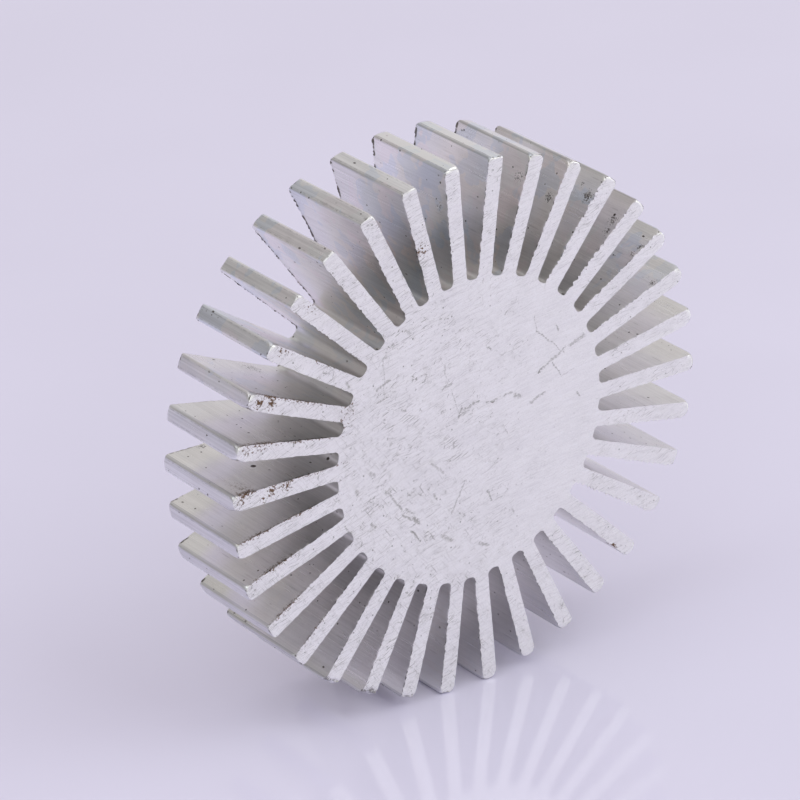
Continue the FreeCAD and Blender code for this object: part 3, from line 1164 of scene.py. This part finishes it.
def sawn_damage(mix, place, along, radius, clouds):
    """Scratches both ways, chips, smudges and pits, mostly on the left of the core, and
    the listed marks of the front face: 0 for none and 1 for the darkest."""
    x, y, z = mix.separate(place)
    flat = mix.combine(x, z)
    blade_way = mix.combine(along, radius)
    bent = mix.warped(flat, scale=0.35, amount=0.7)
    crooked = mix.warped(bent, scale=1.4, amount=0.7)
    left = mix.spread(x + clouds * 26.0, 28.0, 5.0, 0.14, 1.0)
    left = mix.larger(left, mix.spread(mix.length(flat), 17.5, 19.0, 0.0, 0.75))
    patchy = mix.noise(place, scale=0.40)
    patchy = left * mix.spread(patchy, 0.36, 0.60, 0.25, 1.1)
    low_left = mix.spread(x + z, 2.0, -14.0, 0.12, 1.0) * 0.62

    # Strokes: the way, its turn in degrees, length, width, share of cells and darkness.
    worn = mix.strongest(
        mix.flecks(way, degrees, long, wide, share) * strength
        for way, degrees, long, wide, share, strength in (
            (blade_way, 0, 8.0, 0.24, 0.60, 0.45),
            (bent, 8, 5.0, 0.24, 0.45, 0.50),
            (bent, 18, 4.0, 0.22, 0.45, 0.70),
            (bent, 27, 3.0, 0.22, 0.45, 0.80),
            (crooked, 40, 1.4, 0.28, 0.34, 0.75),
            (crooked, 74, 1.8, 0.40, 0.18, 0.66),
            (crooked, -20, 1.1, 0.38, 0.16, 0.62),
            (bent, -54, 4.2, 0.32, 0.45, low_left),
        )
    )
    hairs = mix.strongest((
        mix.scratches(bent, 13, (0.35, 6.5), 0.60),
        mix.scratches(bent, 24, (0.8, 8.0), 0.61),
        mix.scratches(bent, -54, (0.35, 7.0), 0.58) * low_left,
    ))
    worn = mix.larger(worn * patchy, hairs * (left * 0.30))
    smudge = mix.noise(mix.combine(x, z, 3.0), scale=0.9, roughness=0.6)
    smudge = mix.spread(smudge, 0.52, 0.70) * left
    chips = mix.noise(mix.combine(along * 0.6, radius, 31.0), scale=2.9, detail=5.0,
                      roughness=0.85, distortion=0.5)
    chips = mix.spread(chips + smudge * 0.05, 0.595, 0.630) * patchy
    worn = mix.larger(worn, chips * 0.62) + smudge * 0.11
    pits = mix.dots(flat, scale=0.8, radii=(0.04, 0.10), over=0.80, dark=0.9) * left

    broken = mix.noise(mix.combine(along * 0.55, radius, 12.0), scale=5.5, detail=5.0,
                       roughness=0.85)
    broken = mix.calc("MINIMUM", mix.calc("MULTIPLY_ADD", broken, 2.2, -0.60), 0.72)
    crinkled = mix.warped(flat, scale=1.1, amount=0.55)
    strokes = mix.strongest(mix.stroke(crinkled, row, broken) for row in MARKS)
    strokes = strokes * mix.spread(y, 0.5, -0.5)
    return mix.larger(worn, mix.larger(pits, strokes))


def sawn_finish(finish):
    """Bright sawn aluminium: fine arcs of the blade, scratches both ways, marks, pits."""
    mix = Finish("sawn_aluminium")
    place = mix.part_place()
    x, _, z = mix.separate(place)
    flat = mix.combine(x, z)
    from_blade = mix.vector("SUBTRACT", flat, (BLADE_X, BLADE_Z, 0))
    blade_x, blade_z, _ = mix.separate(from_blade)
    radius = mix.length(from_blade)
    along = mix.calc("ARCTAN2", blade_x, blade_z) * BLADE_REACH
    arcs = mix.lines(radius, along, (3.2, 0.16), detail=4.0, roughness=0.7)
    fine = mix.lines(radius, along, (12.0, 0.5), layer=7.0)
    grain = mix.noise(place, scale=7.0, roughness=0.7)
    clouds = mix.noise(place, scale=0.22, roughness=0.6)
    damage = sawn_damage(mix, place, along, radius, clouds)

    shade = (mix.sway(arcs, -0.028, 0.025) + mix.sway(fine, -0.035, 0.035)
             + mix.sway(grain, -0.04, 0.04) + mix.sway(clouds, -0.02, 0.015) + 1.0)
    colour = mix.scale_colour(tuple(finish.sawn_colour), shade)
    colour = mix.blend(damage * 0.9, colour, DAMAGE_COLOUR)

    speckle = mix.noise(mix.warped(place, scale=2.0, amount=0.5), scale=3.4, roughness=0.65)
    marked = mix.attribute("stain")
    reached = mix.spread(marked, 0.02, 0.25)
    stain = mix.spread(speckle + marked * 0.24, 0.62, 0.70) * reached
    tinge = mix.spread(speckle + marked * 0.40, 0.60, 0.90, 0.0, 0.25) * reached
    colour = mix.blend(mix.larger(stain, tinge), colour, tuple(finish.stain_colour))
    streaks = mix.scratches(flat, 40, (0.7, 3.6), 0.44, 0.16)
    dirty = mix.spread(mix.attribute("crush"), 0.02, 0.5) * streaks * 0.75
    # Dark sawn edges: painted shadow and dirt under the burr, and painted shade by the lands.
    edges = mix.spread(mix.attribute("rim"), 0.20, 0.60, 0.0, 0.6)
    colour = mix.blend(mix.larger(dirty, edges), colour, tuple(finish.grime_and_shade_colour))
    return mix.done({
        "Base Color": colour,
        "Metallic": 1.0,
        "Roughness": mix.sway(arcs, *SAWN_ROUGHNESS) + damage * 0.15,
        "Normal": mix.relief(
            (arcs, ARC_DEPTH), (fine, SAW_LINE_DEPTH), (grain, SAWN_GRAIN_DEPTH)
        ),
    })


def land_shade(mix, shade, place, run, length):
    """Lines along a land, and painted light and shade: lighter lands on the fins at the
    top, painted highlights and shade on the strips of its rounded edges, which differ
    between the fins at the top and the others, and a painted dark line between each strip
    and the middle."""
    x, _, z = mix.separate(place)
    across = mix.attribute("across")
    strips = mix.lines(run, length, (3.0, 0.06), layer=8.0, detail=2.0)
    # Painted light: the lands of the fins at the top are lighter, and the right edge strip of
    # the upper fins is a painted highlight.
    top = mix.spread(x, -17.0, -3.0) * mix.spread(z, 10.0, 18.0)
    upper = mix.calc("MULTIPLY_ADD", mix.spread(z, 5.0, 13.0), 0.32, -0.10)
    shade = shade + mix.spread(strips, 0.35, 0.65, -0.08, 0.05) + top * 0.27
    shade = shade + mix.spread(across, 0.55, 0.75) * upper
    # Painted shade on the left edge strip of the top fins, and a painted highlight there on the
    # others.
    tilted = mix.calc("MULTIPLY_ADD", top, -0.46, 0.10)
    shade = shade + mix.spread(across, -0.52, -0.66) * tilted
    # A painted dark line between each edge strip and the middle of the land.
    line = mix.calc("ABSOLUTE", mix.calc("ABSOLUTE", across) - 0.66)
    line = mix.spread(line, 0.02, 0.09, 0.24, 0.0)
    # Noise that breaks up the painted dark line.
    worn = mix.noise(place, scale=1.6, roughness=0.7)
    return shade - line * mix.spread(worn, 0.42, 0.60)


def skin_dirt_and_shade(mix, place, profile, sizes):
    """Specks, dashes, listed specks and grime, crushed metal, and dark edges, which are
    painted shadow and dirt under the burr and painted shade on the lands: 0 for none and 1
    for the darkest."""
    crowd = mix.spread(mix.noise(place, scale=0.30, detail=2.0), 0.50, 0.60)
    specks = mix.dots(profile, scale=0.62, radii=(0.03, 0.085), over=0.88)
    tiny = mix.flecks(profile, 90, long=1.0, wide=0.62, share=0.16) * crowd
    specks = mix.larger(specks, tiny)
    listed = mix.spread(mix.listed(place, SPECKS, sizes), 0.15, 0.35)
    grime = mix.listed(place, GRIME, sizes)
    sooty = mix.noise(place, scale=5.5, roughness=0.7)
    dirty = mix.spread(sooty + grime * 0.25, 0.66, 0.76) * mix.spread(grime, 0.02, 0.30)
    streaks = mix.noise(mix.vector("MULTIPLY", place, (2.6, 0.8, 2.6)), scale=1.0)
    crush = mix.spread(mix.attribute("crush"), 0.02, 0.5)
    crushed = mix.spread(streaks, 0.42, 0.58) * crush * 0.8
    dark = mix.larger(mix.larger(specks, listed) * 0.96, mix.larger(dirty, crushed) * 0.84)
    dashes = mix.flecks(profile, 90, long=5.0, wide=0.5, share=0.22) * 0.16
    dark = mix.larger(dark, dashes)
    # Painted shadow and dirt under the burr, and painted shade along the land edges.
    return mix.larger(dark, mix.spread(mix.attribute("rim"), 0.10, 0.55, 0.0, 0.85))


def skin_finish(sizes, finish, name, land):
    """Extruded skin: fine lines along the die, cloudy patches, specks, stains and grime,
    with painted bluish and rosy reflections on the upper fins, slight painted shade at the
    roots, and painted shadow and shade along the burr and the land edges.

    The land of a fin tip has the same finish, with deeper lines and painted light and shade
    on its rounded edges.
    """
    mix = Finish(name)
    place = mix.part_place()
    profile = mix.profile_place()
    run, length, _ = mix.separate(profile)
    lines = mix.lines(run, length, (5.0, 0.05), detail=5.0, roughness=0.7)
    broad = mix.lines(run, length, (1.1, 0.03), layer=3.0, detail=2.0)
    clouds = mix.noise(place, scale=0.20, distortion=0.5)
    grain = mix.noise(place, scale=6.0, roughness=0.7)
    scuffs = mix.noise(mix.combine(run, length, 5.0), scale=2.2, detail=4.0, roughness=0.7)
    scuffs = mix.spread(scuffs, 0.62, 0.72)
    high = mix.attribute("height")

    # Painted shade: the last factor makes the skin slightly darker at the fin roots.
    shade = (mix.sway(lines, -0.06, 0.05) + mix.sway(broad, -0.04, 0.03)
             + mix.sway(clouds, -0.03, 0.03) + mix.sway(grain, -0.02, 0.02)
             + mix.attribute("tone")) * mix.spread(high, 0.0, 0.05, 0.985, 1.0)
    if land:
        shade = land_shade(mix, shade, place, run, length)

    red, green, blue = finish.tip_colour if land else finish.skin_colour
    # Painted reflections: bluish and rosy patches, strongest on the upper fins.
    bluish = (red * 0.90, green * 0.94, blue)
    rosy = (red * 1.02, green * 0.99, blue)
    drift = mix.warped(place, scale=0.5, amount=1.2)
    bluish_reflection = mix.spread(mix.noise(drift, scale=0.17, roughness=0.6), 0.50, 0.53)
    rosy_reflection = mix.noise(mix.vector("ADD", drift, (7.0, 3.0, 9.0)), scale=0.2)
    rosy_reflection = mix.spread(rosy_reflection, 0.53, 0.56)
    _, _, z = mix.separate(place)
    above = mix.spread(z, 4.0, 16.0, 0.12, 1.0)
    colour = mix.blend(bluish_reflection * above, (red, green, blue), bluish)
    colour = mix.scale_colour(mix.blend(rosy_reflection * above, colour, rosy), shade)

    speckle = mix.noise(place, scale=3.8, detail=4.0, roughness=0.75)
    stain = mix.attribute("stain")
    brown = mix.spread(speckle + stain * 0.34, 0.58, 0.76) * mix.spread(stain, 0.02, 0.25)
    colour = mix.blend(brown * 0.9, colour, tuple(finish.stain_colour))
    # Dirt, and the painted shadow and shade along the burr and the land edges, in the grime
    # colour.
    dark = skin_dirt_and_shade(mix, place, profile, sizes)
    colour = mix.blend(dark, colour, tuple(finish.grime_and_shade_colour))

    even = LAND_ROUGHNESS if land else SKIN_ROUGHNESS
    rough = (mix.sway(lines, even + 0.05, even - 0.03) + scuffs * 0.08 + clouds * 0.05
             + mix.spread(high, 0.0, 0.30, 0.08, 0.0) + dark * 0.3)
    grooves = mix.node("ShaderNodeTangent", {}, "Tangent", direction_type="UV_MAP",
                       uv_map="profile")
    return mix.done({
        "Base Color": colour,
        "Metallic": 1.0,
        "Roughness": rough,
        "Anisotropic": GROOVE_STRETCH,
        "Tangent": grooves,
        "Normal": mix.relief(
            (lines, LAND_LINE_DEPTH if land else SKIN_LINE_DEPTH),
            (broad, BROAD_LINE_DEPTH),
            (scuffs, SCUFF_DEPTH),
            (1.0 - dark, DIRT_DEPTH),
        ),
    })


class HEATSINK_OT_body(bpy.types.Operator):
    """Make the heat sink's surface with its saw burr, knocks and finishes"""

    bl_idname = "heatsink.body"
    bl_label = "Heat sink"

    def execute(self, context):
        sizes = context.scene.heatsink_sizes
        finish = context.scene.heatsink_finish
        piece = put_mesh("heat_sink_body", heat_sink_surface(sizes))
        piece.data.materials.append(sawn_finish(finish))
        for name, land in (("extruded_skin", False), ("extruded_tip", True)):
            piece.data.materials.append(skin_finish(sizes, finish, name, land))
        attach(piece, "root")
        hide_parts(NODE)
        return {"FINISHED"}


def soft_lamp(name, place, width, power):
    """A square lamp with a soft edge that faces the heat sink."""
    lamp = bpy.data.lights.new(name, "AREA")
    lamp.shape = "SQUARE"
    lamp.size = width
    lamp.energy = power
    lamp.color = LAMP_COLOUR
    holder = bpy.data.objects.new(name, lamp)
    bpy.context.scene.collection.objects.link(holder)
    holder.location = place
    holder.rotation_mode = "QUATERNION"
    holder.rotation_quaternion = (-Vector(place)).to_track_quat("-Z", "Y")


def table_finish(studio):
    """Pale glossy acrylic: an even colour with a faint haze in its gloss."""
    mix = Finish("pale_acrylic")
    haze = mix.noise(mix.part_place(), scale=0.02, detail=2.0)
    return mix.done({
        "Base Color": mix.scale_colour(tuple(studio.table_colour), mix.sway(haze, 0.99, 1.01)),
        "Roughness": mix.sway(haze, *TABLE_ROUGHNESS),
        "IOR": TABLE_IOR,
    })


def make_table(studio):
    """A level square under the lowest fin tips."""
    corners = np.array([(-1, -1, 0), (1, -1, 0), (1, 1, 0), (-1, 1, 0)]) * TABLE_HALF
    corners[:, 2] = CAD_LOW.z
    mesh = bpy.data.meshes.new("table")
    mesh.from_pydata(corners.tolist(), [], [(0, 1, 2, 3)])
    table = bpy.data.objects.new("table", mesh)
    bpy.context.scene.collection.objects.link(table)
    table.data.materials.append(table_finish(studio))


def make_backdrop(studio):
    """The world: a pale colour to the camera and to gloss, and soft light elsewhere."""
    world = bpy.data.worlds.new("studio")
    bpy.context.scene.world = world
    mix = Recipe(world, "ShaderNodeOutputWorld")
    paths = mix.add("ShaderNodeLightPath").outputs
    seen = mix.strongest(
        Value(mix, paths[key]) for key in ("Is Camera Ray", "Is Glossy Ray",
                                           "Is Transmission Ray")
    )
    direction = mix.node("ShaderNodeTexCoord", {}, "Generated")
    x, _, z = mix.separate(direction)
    across = mix.spread(x, -1.0, 1.0, shape="LINEAR")
    sky = mix.blend(across, tuple(studio.left_sky_colour), tuple(studio.right_sky_colour))
    rise = mix.spread(z, PALE_UP_TO, GREY_FROM)
    paint = mix.blend(rise, tuple(studio.backdrop_colour), sky)
    light, shown = (
        mix.node("ShaderNodeBackground", {"Color": colour, "Strength": 1.0}, 0)
        for colour in (tuple(studio.ambient_colour), paint)
    )
    mix.wire(mix.node("ShaderNodeMixShader", {0: seen, 1: light, 2: shown}, 0), mix.surface)


def make_camera():
    """The camera, from its place, the direction it looks in and its slight roll."""
    ahead = Vector(CAMERA_LOOK).normalized()
    level = ahead.cross(Vector((0, 0, 1))).normalized()
    above = level.cross(ahead)
    roll = math.radians(CAMERA_ROLL)
    right = level * math.cos(roll) + above * math.sin(roll)
    up = above * math.cos(roll) - level * math.sin(roll)
    data = bpy.data.cameras.new("camera")
    data.lens = CAMERA_LENS
    data.sensor_width = CAMERA_SENSOR
    data.clip_start, data.clip_end = CAMERA_REACH
    camera = bpy.data.objects.new("camera", data)
    bpy.context.scene.collection.objects.link(camera)
    turn = Matrix((right, up, -ahead)).transposed().to_4x4()
    camera.matrix_world = Matrix.Translation(CAMERA_PLACE) @ turn
    bpy.context.scene.camera = camera


class HEATSINK_OT_stage(bpy.types.Operator):
    """Make the table, the backdrop, the lamps and the camera"""

    bl_idname = "heatsink.stage"
    bl_label = "Studio"

    def execute(self, context):
        studio = context.scene.heatsink_studio
        make_table(studio)
        make_backdrop(studio)
        for name, place, width, power in LAMPS:
            soft_lamp(name, place, width, getattr(studio, power))
        make_camera()
        context.scene.view_settings.view_transform = "Standard"
        return {"FINISHED"}


class HEATSINK_PT_panel(bpy.types.Panel):
    """Lists the heat sink's settings and operators in the sidebar."""

    bl_idname = "HEATSINK_PT_panel"
    bl_label = "Heat Sink"
    bl_space_type = "VIEW_3D"
    bl_region_type = "UI"
    bl_category = "Heat Sink"

    def draw(self, context):
        scene = context.scene
        for settings in (scene.heatsink_sizes, scene.heatsink_finish, scene.heatsink_studio):
            box = self.layout.box()
            for key in settings.__annotations__:
                box.prop(settings, key)
        self.layout.operator(HEATSINK_OT_body.bl_idname)
        self.layout.operator(HEATSINK_OT_stage.bl_idname)


CLASSES = (
    SizeSettings,
    FinishSettings,
    StudioSettings,
    HEATSINK_OT_body,
    HEATSINK_OT_stage,
    HEATSINK_PT_panel,
)


def register():
    """Register the classes and hang their settings on the scene."""
    for cls in CLASSES:
        bpy.utils.register_class(cls)
    scene = bpy.types.Scene
    scene.heatsink_sizes = bpy.props.PointerProperty(type=SizeSettings)
    scene.heatsink_finish = bpy.props.PointerProperty(type=FinishSettings)
    scene.heatsink_studio = bpy.props.PointerProperty(type=StudioSettings)


def unregister():
    """Take the settings off the scene and unregister the classes."""
    del bpy.types.Scene.heatsink_sizes
    del bpy.types.Scene.heatsink_finish
    del bpy.types.Scene.heatsink_studio
    for cls in reversed(CLASSES):
        bpy.utils.unregister_class(cls)


def main():
    """Make everything."""
    register()
    bpy.ops.heatsink.body()
    bpy.ops.heatsink.stage()


if __name__ == "__main__":
    main()
